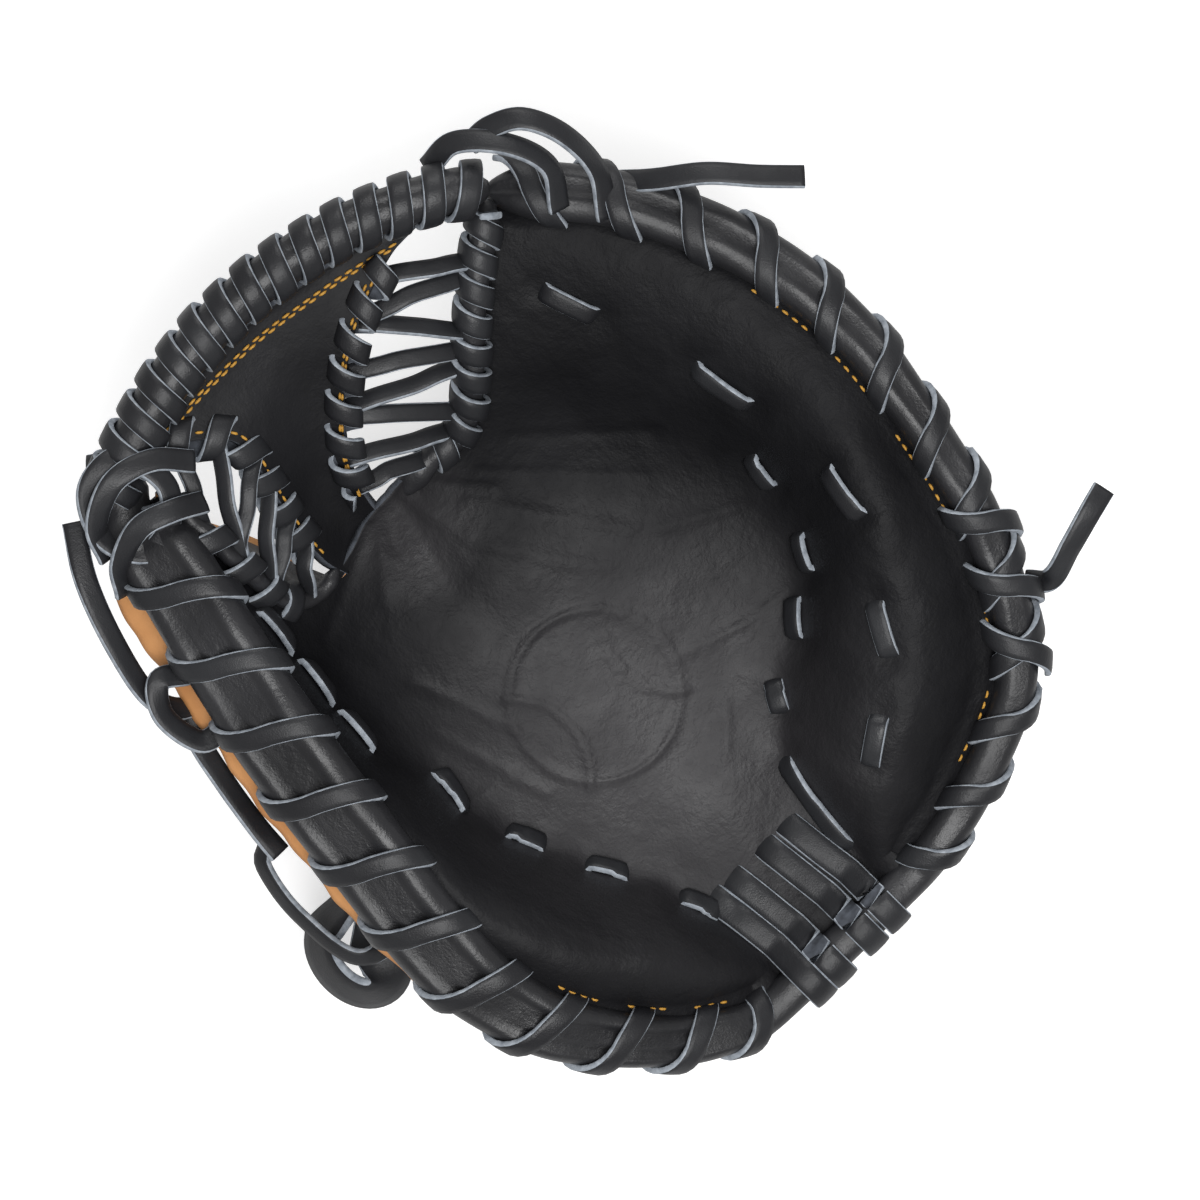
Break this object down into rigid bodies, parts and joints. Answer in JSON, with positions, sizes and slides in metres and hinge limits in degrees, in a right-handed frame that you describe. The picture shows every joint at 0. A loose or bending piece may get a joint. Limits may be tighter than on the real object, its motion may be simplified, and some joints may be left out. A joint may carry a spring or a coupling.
{
  "type": "baseball catcher's mitt",
  "caption": "Black leather catcher's mitt for the left hand: deep padded pocket, laced rim rolls, laced web with a padded bar, folding thumb side, wrist strap.",
  "frame": {"origin": "on the flat of the back, under the middle of the pocket", "axes": "+Z out of the pocket, +Y from the heel to the web, +X towards the finger side"},
  "size_m": [0.2517, 0.2681, 0.1175],
  "materials": {
    "black_leather": "fine grain, soft sheen",
    "lace_leather": "smooth face, pale raw edges",
    "tan_leather": "matt natural tan",
    "pad_felt": "dense wool felt",
    "strap_fleece": "short fleece"
  },
  "bodies": {
    "fingers": {"crotch_binding": "black_leather", "finger_back_shell": "black_leather", "finger_lining": "tan_leather", "finger_pad_lace": "lace_leather", "finger_palm_leather": "black_leather", "finger_pocket_pad": "pad_felt", "finger_rim_lace": "lace_leather", "finger_rim_roll": "black_leather", "finger_side_pad": "pad_felt", "heel_lace_1": "lace_leather", "heel_lace_2": "lace_leather", "index_stall": "tan_leather", "little_finger_loop": "black_leather", "little_stall": "tan_leather", "middle_stall": "tan_leather", "ring_stall": "tan_leather", "side_lace_tail": "lace_leather", "tip_lace_tail": "lace_leather", "top_lace_tail": "lace_leather", "web_bar": "black_leather", "web_bar_lace": "lace_leather", "web_lace_finger": "lace_leather", "web_lace_thumb": "lace_leather", "web_panel": "black_leather"},
    "thumb": {"thumb_back_shell": "black_leather", "thumb_edge_lining": "tan_leather", "thumb_knot_tail": "lace_leather", "thumb_lace_tail": "lace_leather", "thumb_lining": "tan_leather", "thumb_loop": "black_leather", "thumb_pad_lace": "lace_leather", "thumb_palm_leather": "black_leather", "thumb_pocket_pad": "pad_felt", "thumb_rim_lace": "lace_leather", "thumb_rim_roll": "black_leather", "thumb_side_pad": "pad_felt", "thumb_stall": "tan_leather", "heel_lace_3": "lace_leather", "heel_lace_4": "lace_leather"},
    "strap": {"wrist_strap": "black_leather", "wrist_strap_fleece": "strap_fleece"},
    "strap_end": {"strap_tab": "black_leather", "strap_pull_lace": "lace_leather"}
  },
  "joints": [
    {"name": "thumb_fold", "type": "hinge", "parent": "fingers", "child": "thumb", "pos_m": [-0.012, 0, 0.048], "axis": [0, 1, 0], "range_deg": [0, 35], "stiffness_Nm_per_rad": 0.5, "deforming": ["web_panel", "web_bar", "web_bar_lace", "web_lace_finger", "web_lace_thumb"]},
    {"name": "strap_slide", "type": "slide", "parent": "fingers", "child": "strap", "axis": [-1, 0, 0], "range_m": [0, 0.01]},
    {"name": "strap_end_slide", "type": "slide", "parent": "thumb", "child": "strap_end", "axis": [-1, 0, 0], "range_m": [0, 0.01]}
  ],
  "couplings": [
    {"joint": "strap_end_slide", "follows": "strap_slide", "ratio": 1}
  ]
}
